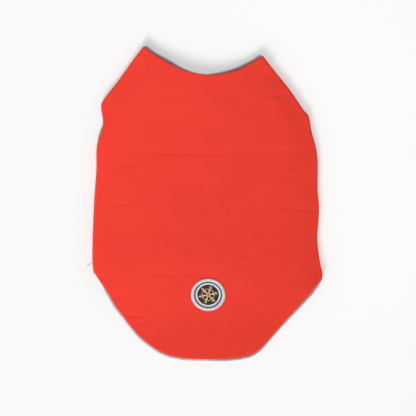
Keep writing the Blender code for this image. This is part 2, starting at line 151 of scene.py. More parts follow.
# The creases: X and Y of both ends, depth and width.
BACK_CREASES = (
    (59, 133, 76, 130.6, 0.3, 2), (47, 110, 99, 117.6, 0.5, 1.3), (-107, 38.2, -60, 40.6, 0.24, 0.8),
    (-116.5, 47, -100, 50.5, 0.2, 1.4), (80, 38.2, 116, 39.4, 0.35, 1.1),
    (62, 29.6, 103, 27.6, 0.2, 1.5), (6, -63, 60, -53.5, 0.42, 1.3),
    (-110, -51.5, -84, -52.5, 0.18, 2.2), (-114.2, 66, -114.6, 44, 0.22, 0.8),
    (-110.6, 64, -111.2, 45, 0.2, 0.9), (-115.6, -81.5, -112.2, -74.5, 0.45, 0.7),
    (-113.4, -83.2, -109.8, -75.4, 0.45, 0.7), (-110.8, -83, -108, -77, 0.25, 0.7),
    (-99, -102, -86.5, -98.8, 0.6, 1), (-93, -105.4, -85, -101, 0.35, 1),
    (-90, -117.6, -65.5, -121.4, 0.75, 1), (-79.5, -131.5, -57, -121.5, 0.9, 1),
    (-62, -122.5, -32, -118, 0.18, 1.6), (-11, -13, 14, 2, 0.12, 1.8),
    (37, -162.2, 50, -159.2, 0.9, 0.9), (-40, 96, -8, 101, 0.12, 3), (48, 72, 58, 66, 0.15, 2),
    (60, -100, 92, -96, 0.15, 3),
)
BELLY_CREASES = (
    (-88, 58, -58, 50, 0.5, 3), (84, 100, 52, 110, 0.45, 3.2), (-70, 108, -42, 112, 0.4, 2.6),
    (80, 52, 60, 40, 0.5, 2.6), (-112, -20, -76, -16, 0.4, 3.5), (66, -8, 112, -14, 0.45, 3),
    (-30, 22, 12, 27, 0.3, 4.5), (20, -38, 44, -30, 0.4, 2.6),
)
CREASE_SLACK = 3.0  # it falls in softly from the neck's side, over so many widths
CREASE_RIDGE, CREASE_RIDGE_AWAY = 0.25, 2.0  # its ridge's height in depths and distance in widths
CREASE_WANDER, CREASE_TURN = 0.5, 3  # how far it wanders, in widths, and through what angle
CREASE_ENDS = 3.0  # it fades over a third of its length at each end

# The padding lies flatter at the neck's tips, the left shoulder and the right fold, and rises a little over
# the piping along the left half of the tail's hem.
TIP_SINK, TIP_REACH = 1.9, 42.0
FOLD_SINK, FOLD_REACH = 3.2, 26.0
NECK_STIFF = 24.0  # distance from the neck within which its piping holds a fold up
HEM_RISES = ((0, 0), (0.4, 0.15), (0.6, 0.1), (0.7, 0))
HEM_RISE_REACH = 9.0

# The cloth's chance unevenness, as waves: height, size in two directions, and a seed of its own.
SLACK = ((0.42, 46, 36, 0), (0.14, 15, 12, 3.7), (0.03, 4.5, 5.5, 7.7))
PULLS = ((0.2, 26, 60, 7.3),)
PUCKERS = ((1, 3.6, 26, 11.1),)
GATHERS = ((0.22, 3.8, 24, 0), (0.2, 11, 40, 0))
TUBE_SWELL = ((0.035, 6, 1, 0),)
GATHER_START, GATHER_REACH = 1.5, 5.0  # distances from a sewn edge over which gathers rise and fade
BACK_SEED, BELLY_SEED = 2.4, 5.1
HEM_SEED, NECK_SEED, FOLD_SEED, BELLY_EDGE_SEED = 31.5, 33.5, 35.5, 41.5
NOISE_GAIN = 1.6  # brings the noise to about -1 to 1
BELLY_HOLLOWS = 0.35  # slack past which the belly's underside leaves the ground
TUBE_SEED = 0.37  # for each point of a tube
TUBE_END = 0.3  # share of its thickness that is left at its ends

# How far the piping stands out from the cloth, by share of the edge's length.
NECK_SHOWN = (
    (0, 2.4), (0.26, 2.4), (0.37, 1.2), (0.44, 0.4), (0.54, 0.4), (0.61, 1.6), (0.75, 2.6), (1, 2.6),
)
HEM_SHOWN = (
    (0, 0), (0.06, 0.2), (0.085, 1.9), (0.15, 2), (0.2, 1.3), (0.27, 1.8), (0.34, 2.1), (0.39, 2.2),
    (0.43, 1.7), (0.5, 1.4), (0.555, 2.7), (0.635, 2.85), (0.665, 1.9), (0.7, 1.5), (0.775, 1.3),
    (0.85, 2), (0.93, 2.6), (1, 0.4),
)
LEG_SHOWN = {
    "left": ((0, -0.4), (0.14, 0.2), (0.24, 1.3), (0.46, 1.2), (0.58, -0.5), (1, -0.8)),
    "right": ((0, -0.8), (1, -0.8)),
}
# How far the chest's neck edge is cut below the back's, by share of its length.
CHEST_CUT = ((0, 4.5), (0.1, 0.9), (0.16, 0.4), (0.25, 0.5), (0.33, 3), (0.5, 8), (0.8, 6.5), (1, 6))

# The loose end of thread comes out of the left side and lies on the ground.
THREAD_END = (
    (-119.5, -63.2, 5.6), (-121.8, -63.6, 5.5), (-123.2, -64.2, 4), (-124.6, -64.8, 1.6),
    (-126.2, -65.6, 0.4), (-128, -66.4, 0.25),
)
THREAD_END_THICK = 0.45

# Lines and distances


def smooth(share):
    """0 to 1 with level ends."""
    share = np.clip(share, 0.0, 1.0)
    return share * share * (3 - 2 * share)


def read_off(curve, places):
    """The values at these places of a curve given as pairs of a place and a value."""
    return np.interp(places, *zip(*curve))


def hump(share):
    """1 at 0, and fading out either way within about 2."""
    return np.exp(-(share**2))


def crowded(count, length):
    """Shares from 0 to 1 of a length, in count steps that close up towards both ends."""
    share = np.linspace(0, 1, 2001)
    from_end = np.minimum(share, 1 - share) * length
    density = 1 + CROWDING * np.exp(-from_end / CROWDED_WITHIN)
    total = np.concatenate([[0], np.cumsum(density[1:] + density[:-1])])
    return np.interp(np.linspace(0, 1, count + 1), total / total[-1], share)


def curve_through(points, steps=10):
    """A smooth line through the points, steps pieces between each two of them."""
    points = np.array(points, float)
    padded = np.concatenate([[2 * points[0] - points[1]], points, [2 * points[-1] - points[-2]]])
    share = np.linspace(0, 1, steps, endpoint=False)[:, None]
    pieces = []
    for before, start, end, after in zip(padded, padded[1:], padded[2:], padded[3:]):
        slope_in, slope_out = (end - before) / 2, (after - start) / 2
        pieces.append(
            (2 * share**3 - 3 * share**2 + 1) * start
            + (share**3 - 2 * share**2 + share) * slope_in
            + (3 * share**2 - 2 * share**3) * end
            + (share**3 - share**2) * slope_out
        )
    return np.concatenate([*pieces, points[-1:]])


def length_of(line):
    return np.linalg.norm(np.diff(line, axis=0), axis=1).sum()


def run_to(line):
    """How far along a line each of its points lies."""
    return np.concatenate([[0], np.cumsum(np.linalg.norm(np.diff(line, axis=0), axis=1))])


def at_shares(line, shares):
    """Points of a line at these shares of its length."""
    along = run_to(line)
    along /= along[-1]
    return np.stack([np.interp(shares, along, column) for column in line.T], axis=1)


def along_side(side, start, end):
    """The stretch of a side's outline from one station to another."""
    names = [mark[2:] for mark in side]
    line = curve_through([mark[:2] for mark in side])
    steps = (len(line) - 1) // (len(side) - 1)
    return line[names.index((start,)) * steps : names.index((end,)) * steps + 1]


def nearest_on(line, xy):
    """How far each point of xy is from a line, and how far along the line it lies."""
    start, run = line[:-1], np.diff(line, axis=0)
    lengths, before = np.linalg.norm(run, axis=1), run_to(line)
    distances, places = [], []
    for part in np.array_split(xy, max(1, len(xy) // 4000)):
        from_start = part[:, None] - start
        share = np.clip((from_start * run).sum(2) / np.maximum(lengths**2, 1e-12), 0, 1)
        away = from_start - share[..., None] * run
        squares = (away * away).sum(2)
        nearest = squares.argmin(1)
        each = np.arange(len(part))
        distances.append(np.sqrt(squares[each, nearest]))
        places.append(before[nearest] + share[each, nearest] * lengths[nearest])
    return np.concatenate(distances), np.concatenate(places)


def distance_to(lines, xy):
    """How far each point of xy lies from the nearest of these lines."""
    return np.min([nearest_on(line, xy)[0] for line in lines], axis=0)


def unit(runs):
    return runs / np.linalg.norm(runs, axis=1)[:, None]


def left_of(runs):
    """Steps of length 1 to the left of these runs."""
    x, y = unit(runs).T
    return np.stack([-y, x], axis=1)


def moved_out(line, distances):
    """A line moved to its left by these distances."""
    return line + left_of(np.gradient(line, axis=0)) * np.asarray(distances)[..., None]


def bow(share, middle):
    """An arch that is 0 at both ends and this high in the middle."""
    return middle * 4 * share * (1 - share)


def across(left, right, share, rise):
    """A row of points from left to right, raised from the straight line."""
    row = left + (right - left) * share[:, None]
    row[:, 1] += rise
    return row


# The rows of the two panels


def station_rise(station, share):
    """How far a station's row stands above the straight line between its ends."""
    x, y = neck_line().T
    along = (x - x[0]) / (x[-1] - x[0])
    neck = np.interp(share, along, y - (y[0] + (y[-1] - y[0]) * along))
    middle, neck_share = ARCHES[station]
    return bow(share, middle) + neck * neck_share


def rows_between(left, right, share, rises):
    """Rows of points, each from a point on the left to one on the right."""
    return [across(start, end, share, rise) for start, end, rise in zip(left, right, rises)]


def back_rows():
    """The back panel's rows of points, from the tail to the neck."""
    share = crowded(BACK_COLUMNS, COLUMNS_WIDTH)
    rows = []
    for start, end, count in BACK_ZONES:
        sides = [along_side(side, start, end) for side in SIDES]
        steps = crowded(count, length_of(sides[0]))
        low, high = station_rise(start, share), station_rise(end, share)
        rises = low + (high - low) * steps[:, None]
        rows = rows[:-1] + rows_between(*[at_shares(side, steps) for side in sides], share, rises)
    return np.array(rows)


def station_row(station):
    left, right = (along_side(side, station, "neck")[0] for side in SIDES)
    share = np.linspace(0, 1, LINE_POINTS)
    return across(left, right, share, station_rise(station, share))


def hem_line():
    """The tail's edge, from the left hem corner round to the right one."""
    left = along_side(LEFT_SIDE, "hem_round", "hem_corner")[::-1]
    right = along_side(RIGHT_SIDE, "hem_round", "hem_corner")
    return np.concatenate([left, station_row("hem_round")[1:-1], right])


def neck_line():
    return curve_through(NECK)


def leg_cut(side):
    """The edge of a leg hole in the belly panel, from low to high."""
    low, *_, high = along_side(side, "seam_1", "shoulder")
    along = (high - low) / 2
    inwards = np.array([-np.sign(low[0]), 0.0])
    turn = np.pi * np.linspace(0, 1, LEG_ROWS + 1)[:, None]
    return (low + high) / 2 - along * np.cos(turn) + inwards * LEG_DEPTH * np.sin(turn)


def chest_neck_line():
    """The belly panel's neck edge, from left to right."""
    left, right = (shoulder_run(side)[-1] for side in SIDES)
    share = np.linspace(0, 1, 33)
    x = left[0] + (right[0] - left[0]) * share
    line = np.column_stack([x, np.interp(x, *neck_line().T) - read_off(CHEST_CUT, share)])
    return np.concatenate([[left], curve_through(line[2:-2:3], 4), [right]])


def shoulder_run(side):
    """The folded edge from a leg hole to where the chest's neck edge begins."""
    run = along_side(side, "shoulder", "neck")
    return at_shares(run, np.linspace(0, CHEST_END, 30))


def belly_side(side):
    """The folded edge from the belly's hem up to a leg hole."""
    return along_side(side, "hem_corner", "seam_1")[1:]


def belly_hem_line():
    """The belly panel's hem, from left to right."""
    left, right = (belly_side(side)[0] for side in SIDES)
    share = np.linspace(0, 1, LINE_POINTS)
    return across(left, right, share, bow(share, BELLY_HEM_BOW))


def belly_rows():
    """The belly panel's rows of points, from its hem to the neck."""
    share = crowded(BELLY_COLUMNS, COLUMNS_WIDTH)
    steps = crowded(BELLY_ROWS, length_of(belly_side(LEFT_SIDE)))
    left, right = (at_shares(belly_side(side), steps) for side in SIDES)
    rows = rows_between(left, right, share, bow(share, BELLY_HEM_BOW * (1 - steps[:, None])))[:-1]
    rows += rows_between(*map(leg_cut, SIDES), share, [0] * (LEG_ROWS + 1))
    steps = crowded(CHEST_ROWS, length_of(shoulder_run(LEFT_SIDE)))
    left, right = (at_shares(shoulder_run(side), steps) for side in SIDES)
    chest = at_shares(chest_neck_line(), share)
    chest_rise = chest - across(chest[0], chest[-1], share, 0)
    chest_rows = rows_between(left, right, share, [0] * len(steps)) + chest_rise * steps[:, None, None]
    return np.array([*rows, *chest_rows[1:]])


# The lie of the cloth


def uneven(waves, first, second, seed):
    """Smooth chance heights over two directions: the sum of these waves."""
    total = 0
    for height, first_size, second_size, own_seed in waves:
        places = zip(first / first_size, second / second_size)
        heights = [noise.noise((a, b, seed + own_seed)) for a, b in places]
        total = total + height * (np.array(heights) * NOISE_GAIN)
    return total


def quarter_round(distance, reach):
    left = 1 - np.clip(distance / reach, 0, 1)
    return np.sqrt(1 - left * left)


def rest_height(xy):
    """The level the back panel lies at: on the belly panel, and down to the ground at the tail."""
    below = np.interp(xy[:, 0], *belly_hem_line().T) - xy[:, 1]
    return (BELLY_PAD + GAP) * (1 - smooth(below / TAIL_DROP))


def creased(creases, xy):
    """How deep the creases are: troughs that fade at their ends, soft on the neck's side and steep on the
    tail's, with a low ridge beyond the steep one."""
    depth = np.zeros(len(xy))
    for x1, y1, x2, y2, deepest, width in creases:
        from_start = xy - (x1, y1)
        run = np.array([x2 - x1, y2 - y1])
        length = np.linalg.norm(run)
        along = from_start @ run / length**2
        sideways = from_start @ np.array([-run[1], run[0]]) / length
        sideways -= width * CREASE_WANDER * np.sin(CREASE_TURN * along + x1)
        trough = hump(sideways / (width * np.where(sideways > 0, CREASE_SLACK, 1.0)))
        ridge = CREASE_RIDGE * hump(sideways / width + CREASE_RIDGE_AWAY)
        depth += deepest * smooth(np.minimum(along, 1 - along) * CREASE_ENDS) * (trough - ridge)
    return depth


def quilted(xy):
    """How far the seams pull the cloth down, with the puckers at their stitches."""
    depth = np.zeros(len(xy))
    x, y = xy.T
    for number, (station, (reach, groove, ridge)) in enumerate(QUILTING.items()):
        above = y - np.interp(x, *station_row(station).T)
        away = np.abs(above)
        pull = read_off(SEAM_DEPTHS[station], x) * (1 + uneven(PULLS, x, away, number))
        depth += pull * np.exp(-np.hypot(away, SEAM_ROUND) / reach)
        depth += pull * groove * hump(above / GROOVE_WIDTH)
        depth -= pull * ridge * hump((above + RIDGE_BELOW) / RIDGE_WIDTH)
        puckers = PUCKER_HEIGHT + PUCKER_SHARE * pull
        puckers *= uneven(PUCKERS, x + PUCKER_SLANT * above, away, number)
        depth += puckers * np.exp(-away / PUCKER_REACH) * (1 - hump(away / PUCKER_START))
    return depth


def settled(xy):
    """How far the padding sinks towards the neck's tips and the flat folds, less its rise along the hem."""
    from_tip = np.min([np.hypot(*(xy - tip).T) for tip in (NECK[0], NECK[-1])], axis=0)
    from_fold = distance_to([shoulder_run(LEFT_SIDE), back_folds()[1]], xy)
    from_neck = distance_to([neck_line()], xy)
    sink = np.maximum(
        TIP_SINK * (1 - smooth(from_tip / TIP_REACH)),
        FOLD_SINK * (1 - smooth(from_fold / FOLD_REACH)) * smooth(from_neck / NECK_STIFF),
    )
    away, along = nearest_on(hem_line(), xy)
    rise = read_off(HEM_RISES, along / length_of(hem_line()))
    return sink - rise * (1 - smooth(away / HEM_RISE_REACH))


def gathered(line, xy, seed):
    """The small gathers that run in from a sewn edge."""
    away, along = nearest_on(line, xy)
    near = np.exp(-away / GATHER_REACH) * smooth(away / GATHER_START)
    return near * uneven(GATHERS, along, away, seed)


def piping_offsets(shown, shares):
    """How far out from the cloth's edge the middle of the piping lies."""
    return read_off(shown, shares) - PIPING / 2


def lip_height(xy):
    """The level of the back panel's edge: on the piping where it is open, and on the belly at a fold."""
    level = np.full(len(xy), -GAP / 2)
    for line, shown in ((hem_line(), HEM_SHOWN), (neck_line(), NECK_SHOWN)):
        away, along = nearest_on(line, xy)
        offset = np.clip(piping_offsets(shown, along / length_of(line)), -PIPING / 2, PIPING / 2)
        on_piping = PIPING / 2 + np.sqrt((PIPING / 2) ** 2 - offset**2)
        level += (on_piping - level) * (1 - smooth(away / LIFT_REACH))
    return rest_height(xy) + level


def back_open_edges():
    return [hem_line(), neck_line()]


def back_folds():
    return [along_side(side, "hem_corner", "neck") for side in SIDES]


def back_under(xy):
    """The back panel's lower face, raised over the piping of its open edges."""
    beyond = distance_to(back_open_edges(), xy) - PIPING_LIFT
    return rest_height(xy) + PIPING * (1 - smooth(beyond / (LIFT_REACH - PIPING_LIFT)))


def back_top(xy):
    """The back panel's upper face: quilted padding that rounds off at the edges."""
    fold_round = quarter_round(distance_to(back_folds(), xy), SIDE_ROLL)
    fullness = np.minimum(fold_round, quarter_round(distance_to(back_open_edges(), xy), RIM_ROLL))
    lip = lip_height(xy)
    padding = rest_height(xy) + BACK_PAD + uneven(SLACK, *xy.T, BACK_SEED)
    padding -= quilted(xy) + creased(BACK_CREASES, xy) + settled(xy)
    padding = np.maximum(padding, back_under(xy) + BACK_THIN)
    gathers = gathered(hem_line(), xy, HEM_SEED) + gathered(neck_line(), xy, NECK_SEED)
    gathers += sum(gathered(line, xy, FOLD_SEED) for line in back_folds())
    return lip + (padding - lip) * fullness + gathers


def belly_open_edges():
    return [belly_hem_line(), chest_neck_line(), leg_cut(LEFT_SIDE), leg_cut(RIGHT_SIDE)]


def belly_folds():
    return [run(side) for run in (belly_side, shoulder_run) for side in SIDES]


def belly_lip(xy):
    """The level of the belly panel's edge: half way up where it is open, against the back at a fold."""
    beyond = distance_to(belly_open_edges(), xy) - distance_to(belly_folds(), xy)
    fold_level = BELLY_PAD + GAP / 2
    return fold_level + (BELLY_PAD / 2 - fold_level) * (1 - smooth(beyond / RIM_ROLL))


def belly_under(xy):
    """The belly panel's lower face: flat on the ground but for its creases, and rounded up at its edges."""
    from_fold, from_rim = distance_to(belly_folds(), xy), distance_to(belly_open_edges(), xy)
    fullness = quarter_round(np.minimum(from_fold / SIDE_ROLL, from_rim / RIM_ROLL), 1.0)
    hollows = np.maximum(creased(BELLY_CREASES, xy), 0)
    hollows += np.maximum(uneven(SLACK, *xy.T, BELLY_SEED) - BELLY_HOLLOWS, 0)
    hollows += sum(np.abs(gathered(line, xy, BELLY_EDGE_SEED)) for line in belly_open_edges())
    return belly_lip(xy) * (1 - fullness) + hollows * fullness


def belly_top(xy):
    """The belly panel's upper face, which the back panel lies on."""
    rounded = 1 - quarter_round(distance_to(belly_open_edges(), xy), RIM_ROLL)
    return BELLY_PAD - (BELLY_PAD - BELLY_RIM) / 2 * rounded


# Putting pieces in the frame


def frame_shift():
    """How far the marks' origin is from the frame's, read from the badge's solid."""
    low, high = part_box("badge_disc")
    middle = (low + high) / 2
    return Vector((middle.x - BADGE_CENTRE[0] * MM, middle.y - BADGE_CENTRE[1] * MM, 0))


def dressed(piece, finish, slot, *nodes):
    """Brings a piece to the frame, in metres, and has it stand for these solids."""
    piece.data.transform(Matrix.Translation(frame_shift()) @ Matrix.Scale(MM, 4))
    piece.data.materials.clear()
    piece.data.materials.append(finish)
    for polygon in piece.data.polygons:
        polygon.use_smooth = True
    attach(piece, "root")
    if nodes:
        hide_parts(*nodes)
    return piece


def linked(name, data):
    made = bpy.data.objects.new(name, data)
    bpy.context.scene.collection.objects.link(made)
    return made


def mesh_piece(name, points, faces):
    mesh = bpy.data.meshes.new(name)
    faces = [[int(number) for number in face] for face in faces]
    mesh.from_pydata([tuple(point) for point in points], [], faces)
    return linked(name, mesh)


# The two panels


def drawn_in(rows, distance):
    """The edge of a sheet of rows drawn in by a distance."""
    drawn = rows.copy()
    edge = np.concatenate([rows[0, :-1], rows[:-1, -1], rows[-1, :0:-1], rows[:0:-1, 0]])
    run = np.roll(edge, -CORNER_TURN, axis=0) - np.roll(edge, CORNER_TURN, axis=0)
    edge = edge + distance * left_of(run)
    last_row, last_column = rows.shape[0] - 1, rows.shape[1] - 1
    corners = np.cumsum([last_column, last_row, last_column])
    drawn[0, :-1], drawn[:-1, -1], drawn[-1, :0:-1], drawn[:0:-1, 0] = np.split(edge, corners)
    return drawn


def hidden_cell(numbers, corners, row, column):
    """A cell of the hidden face. At the panel's edge, its side takes in all the shown points."""
    low, left = row * HIDDEN_STEP, column * HIDDEN_STEP
    high, right = low + HIDDEN_STEP, left + HIDDEN_STEP
    last_row, last_column = corners.shape[0] - 2, corners.shape[1] - 2
    cell = list(numbers[0, left:right]) if row == 0 else [corners[row, column]]
    cell += list(numbers[low:high, -1]) if column == last_column else [corners[row, column + 1]]
    cell += list(numbers[-1, right:left:-1]) if row == last_row else [corners[row + 1, column + 1]]
    cell += list(numbers[high:low:-1, 0]) if column == 0 else [corners[row + 1, column]]
    return cell


def panel(name, rows, shown_height, hidden_height, lip, upwards):
    """A closed padded panel. Its shown face has all the points of the rows, and its hidden face every third
    one. Both meet in a lip that is drawn back into the seam."""
    flat = rows.reshape(-1, 2)
    shown = np.column_stack([flat, shown_height(flat)]).reshape(*rows.shape[:2], 3)
    drawn = drawn_in(rows, TUCK)
    edge = np.ones(rows.shape[:2], bool)
    edge[1:-1, 1:-1] = False
    shown[edge] = np.column_stack([drawn[edge], lip(rows[edge])])
    inner = rows[HIDDEN_STEP:-HIDDEN_STEP:HIDDEN_STEP, HIDDEN_STEP:-HIDDEN_STEP:HIDDEN_STEP]
    hidden = np.column_stack([inner.reshape(-1, 2), hidden_height(inner.reshape(-1, 2))])

    numbers = np.arange(edge.size).reshape(edge.shape)
    corners = numbers[::HIDDEN_STEP, ::HIDDEN_STEP].copy()
    corners[1:-1, 1:-1] = edge.size + np.arange(len(hidden)).reshape(inner.shape[:2])
    faces = np.stack([numbers[:-1, :-1], numbers[:-1, 1:], numbers[1:, 1:], numbers[1:, :-1]], axis=-1)
    faces = [*faces.reshape(-1, 4)]
    for row, column in np.ndindex(*np.subtract(corners.shape, 1)):
        faces.append(hidden_cell(numbers, corners, row, column)[::-1])
    if not upwards:
        faces = [face[::-1] for face in faces]
    return mesh_piece(name, np.concatenate([shown.reshape(-1, 3), hidden]), faces)


# Piping


def tube(name, path, diameter, sides=18, closed=False):
    """A tube of ribbon round a cord, with its length and girth in millimetres as its UV map."""
    path = np.asarray(path)
    run = np.roll(path, -1, axis=0) - np.roll(path, 1, axis=0) if closed else np.gradient(path, axis=0)
    run = unit(run)
    sideways = unit(np.cross(run, (0, 0, 1)))
    upwards = np.cross(sideways, run)
    lengths = run_to(path)
    radius = np.full((len(path), 1, 1), diameter / 2)
    swell = np.ones_like(radius)
    if not closed:
        rounded = quarter_round(np.minimum(lengths, lengths[-1] - lengths), diameter / 2)
        radius *= (TUBE_END + (1 - TUBE_END) * rounded)[:, None, None]
        swell += uneven(TUBE_SWELL, lengths, lengths * 0, len(path) * TUBE_SEED)[:, None, None]
    turn = 2 * np.pi * np.arange(sides) / sides
    rings = (
        path[:, None]
        + sideways[:, None] * np.cos(turn)[:, None] * radius * swell
        + upwards[:, None] * np.sin(turn)[:, None] * radius
    )
    numbers = np.arange(len(path) * sides).reshape(len(path), sides)
    ends = numbers if closed else numbers[:-1]
    nexts = np.roll(numbers, -1, axis=0)[: len(ends)]
    faces = np.stack([ends, np.roll(ends, -1, 1), np.roll(nexts, -1, 1), nexts], axis=-1)
    faces = list(faces.reshape(-1, 4))
    around = np.arange(sides + 1) / sides * np.pi * diameter
    stations = [*lengths, lengths[-1] + lengths[1]][: len(ends) + 1]
    uvs = []
    for start, end in zip(stations, stations[1:]):
        for low, high in zip(around, around[1:]):
            uvs += [(start, low), (start, high), (end, high), (end, low)]
    if not closed:
        faces += [numbers[0][::-1], numbers[-1]]
        uvs += [(0, around[side]) for side in range(sides)] * 2
    piece = mesh_piece(name, rings.reshape(-1, 3), faces)
    layer = piece.data.uv_layers.new(name="ribbon")
    layer.data.foreach_set("uv", np.array(uvs, float).ravel())
    return piece


def evenly(line, spacing):
    """A line through the same places with evenly spaced points."""
    return at_shares(line, np.linspace(0, 1, round(length_of(line) / spacing) + 1))


def piping_under_edge(name, edge, shown, outwards):
    """Piping under the back panel's raised edge, which stands out by the widths shown."""
    shares = np.linspace(0.01, 0.99, round(length_of(edge) / PIPING_SPACING))
    line = moved_out(at_shares(edge, shares), outwards * piping_offsets(shown, shares))
    return tube(name, np.column_stack([line, rest_height(line) + PIPING / 2]), PIPING)


def piping_beside_belly(name, row, outwards):
    """Piping along the first or the last row of the belly panel."""
    line = evenly(moved_out(row, outwards * (PIPING / 2 + GAP))[3:-3], PIPING_SPACING)
    return tube(name, np.column_stack([line, np.full(len(line), BELLY_PAD / 2)]), PIPING)


def leg_piping(word, side):
    """A closed loop of piping: round the belly's cut, and back under the back's side."""
    cut = leg_cut(side)
    outwards = np.sign(cut[0, 0])
    inner = moved_out(cut, -outwards * (PIPING / 2 + GAP))[4:-4]
    shares = np.linspace(0.95, 0.05, 12)
    outline = at_shares(along_side(side, "seam_1", "shoulder"), shares)
    shown = piping_offsets(LEG_SHOWN[word], shares)
    outer = outline + outwards * np.column_stack([shown, 0 * shown])
    corner_points = np.concatenate([inner[::3], outer])
    loop = curve_through(np.concatenate([corner_points, corner_points[:3]]), 6)[6:-12]
    loop = evenly(np.concatenate([loop, loop[:1]]), PIPING_SPACING)[:-1]
    level = np.full(len(loop), BELLY_PAD - PIPING / 2)
    return tube("leg_ribbon_" + word, np.column_stack([loop, level]), PIPING, closed=True)


# Threads: each stitch is modelled once, along X at the origin, and copied


def added(primitive, **options):
    """Adds a primitive with nothing else selected, and opens it for shaping."""
    bpy.ops.object.select_all(action="DESELECT")
    primitive(**options)
    bpy.ops.object.transform_apply(location=True, rotation=True, scale=True)
    bpy.ops.object.mode_set(mode="EDIT")
    return bpy.context.object


def filled_circle(vertices, radius, location=(0, 0, 0)):
    circle = bpy.ops.mesh.primitive_circle_add
    return added(circle, vertices=vertices, radius=radius, fill_type="NGON", location=location)


def choose(kind, wanted):
    """Selects the corners, edges or faces in hand whose corners are all wanted."""
    bpy.ops.mesh.select_mode(type=kind)
    bpy.ops.mesh.select_all(action="DESELECT")
    mesh = bpy.context.object.data
    form = bmesh.from_edit_mesh(mesh)
    for each in {"VERT": form.verts, "EDGE": form.edges, "FACE": form.faces}[kind]:
        corners = [each] if kind == "VERT" else each.verts
        each.select_set(wanted([corner.co for corner in corners]))
    bmesh.update_edit_mesh(mesh)


def face_outwards():
    bpy.ops.mesh.select_all(action="SELECT")
    bpy.ops.mesh.normals_make_consistent(inside=False)


def stitch_model():
    """A stitch 1 mm long and thick, drawn in at both ends and full in the middle."""
    cylinder, along_x = bpy.ops.mesh.primitive_cylinder_add, (0, math.pi / 2, 0)
    stitch = added(cylinder, vertices=6, radius=0.4, depth=0.8, rotation=along_x)
    choose("EDGE", lambda corners: abs(corners[0].x - corners[-1].x) > 0.5)
    bpy.ops.mesh.subdivide(number_cuts=2)
    for end in (-1, 1):
        choose("FACE", lambda corners: all(corner.x * end > 0.39 for corner in corners))
        bpy.ops.mesh.inset(thickness=0.2, depth=0.1)
    choose("VERT", lambda corners: abs(corners[0].x) < 0.2)
    bpy.ops.transform.resize(value=(1.0, 1.2, 1.2))
    bpy.ops.transform.translate(value=(0, 0, 0.15))
    bpy.ops.object.mode_set(mode="OBJECT")
    return stitch


def wrap_model():
    """One wrap of thread over the badge's border."""
    wrap = filled_circle(6, BORDER_THREAD / 2, location=((BORDER_THREAD - BORDER_WIDTH) / 2, 0, 0))
    bpy.ops.mesh.spin(steps=7, angle=math.pi, center=(0, 0, 0), axis=(0, -1, 0))
    face_outwards()
    bpy.ops.transform.resize(value=(1.0, 1.0, WRAP_FLATNESS))
    bpy.ops.object.mode_set(mode="OBJECT")
    return wrap


def joined(pieces, name):
    """Joins pieces as one, in the last one's place."""
    bpy.ops.object.select_all(action="DESELECT")
    for piece in pieces:
        piece.select_set(True)
    bpy.context.view_layer.objects.active = pieces[-1]
    bpy.ops.object.join()
    pieces[-1].name = name
    return pieces[-1]


def copied(model, name, places):
    """Copies of a modelled stitch at these places, joined as one piece."""
    copies = [linked(name, model.data.copy()) for _ in places]
    for copy, matrix in zip(copies, places):
        copy.data.transform(matrix)
    piece = joined(copies, name)
    bpy.data.objects.remove(model)
    return piece


def stitch_between(start, end, thickness):
    """Where the model stitch goes to run from one point to another."""
    start, end = Vector(start), Vector(end)
    run = end - start
    side = Vector((0, 0, 1)).cross(run).normalized() * thickness
    upwards = run.normalized().cross(side)
    return Matrix.Translation((start + end) / 2) @ Matrix((run, side, upwards)).transposed().to_4x4()


def seam_stitches():
    """The stitches that show along the three seams of the back."""
    places = []
    for station in QUILTING:
        row = evenly(curve_through(station_row(station)), STITCH_PITCH)[1:-1]
        half = np.gradient(row, axis=0)
        half *= STITCH_LENGTH / 2 / np.linalg.norm(half, axis=1)[:, None]
        starts, ends = row - half, row + half
        levels = back_top(np.concatenate([starts, ends])).reshape(2, -1) - STITCH_SINK
        for start, end, low, high in zip(starts, ends, *levels):
            places.append(stitch_between((*start, low), (*end, high), STITCH_THREAD))
    return copied(stitch_model(), "seam_stitches", places)


# The badge


def on_badge(from_centre, turn):
    """A point of the badge laid flat, at a distance and an angle from its middle."""
    return Vector((from_centre * math.cos(turn), from_centre * math.sin(turn), 0))


def satin(start, end, start_width, end_width):
    """Satin stitches side by side, each across the line from start to end."""
    run = end - start
    sideways = Vector((-run.y, run.x, 0)).normalized()
    places = []
    count = round(run.length / SATIN_PITCH)
    for share in np.arange(count + 1) / count:
        half = sideways * (start_width + (end_width - start_width) * share) / 2
        middle = start + run * share
        places.append(stitch_between(middle - half, middle + half, SATIN_THREAD))
    return places


def snowflake():
    """Where the snowflake's stitches go: first its pale ones, then its orange ones."""
    pale, orange = [], []
    sixth = math.pi / 3
    for arm in range(6):
        turn = BADGE_TILT + arm * math.pi / 3
        pale += satin(*[on_badge(reach, turn) for reach in ARM_REACH], *ARM_WIDTHS)
        for side in (-1, 1):
            for reach, length, width in TWIGS:
                foot = on_badge(reach, turn)
                tip = foot + on_badge(length, turn + side * sixth)
                orange += satin(foot + (tip - foot) * TWIG_START, tip, width, width * TWIG_TAPER)
        corners = [on_badge(HEXAGON_RADIUS, turn + further) for further in (0, sixth)]
        orange += satin(*corners, HEXAGON_WIDTH, HEXAGON_WIDTH)
    return pale, orange


def badge_ring():
    """Where the stitches of the badge's pale ring go."""
    inner, outer = RING_REACH
    count = round(math.tau * outer / SATIN_PITCH)
    places = []
    for number in range(count):
        turn = number / count * math.tau
        places.append(stitch_between(on_badge(inner, turn), on_badge(outer, turn + RING_SLANT), SATIN_THREAD))
    return places


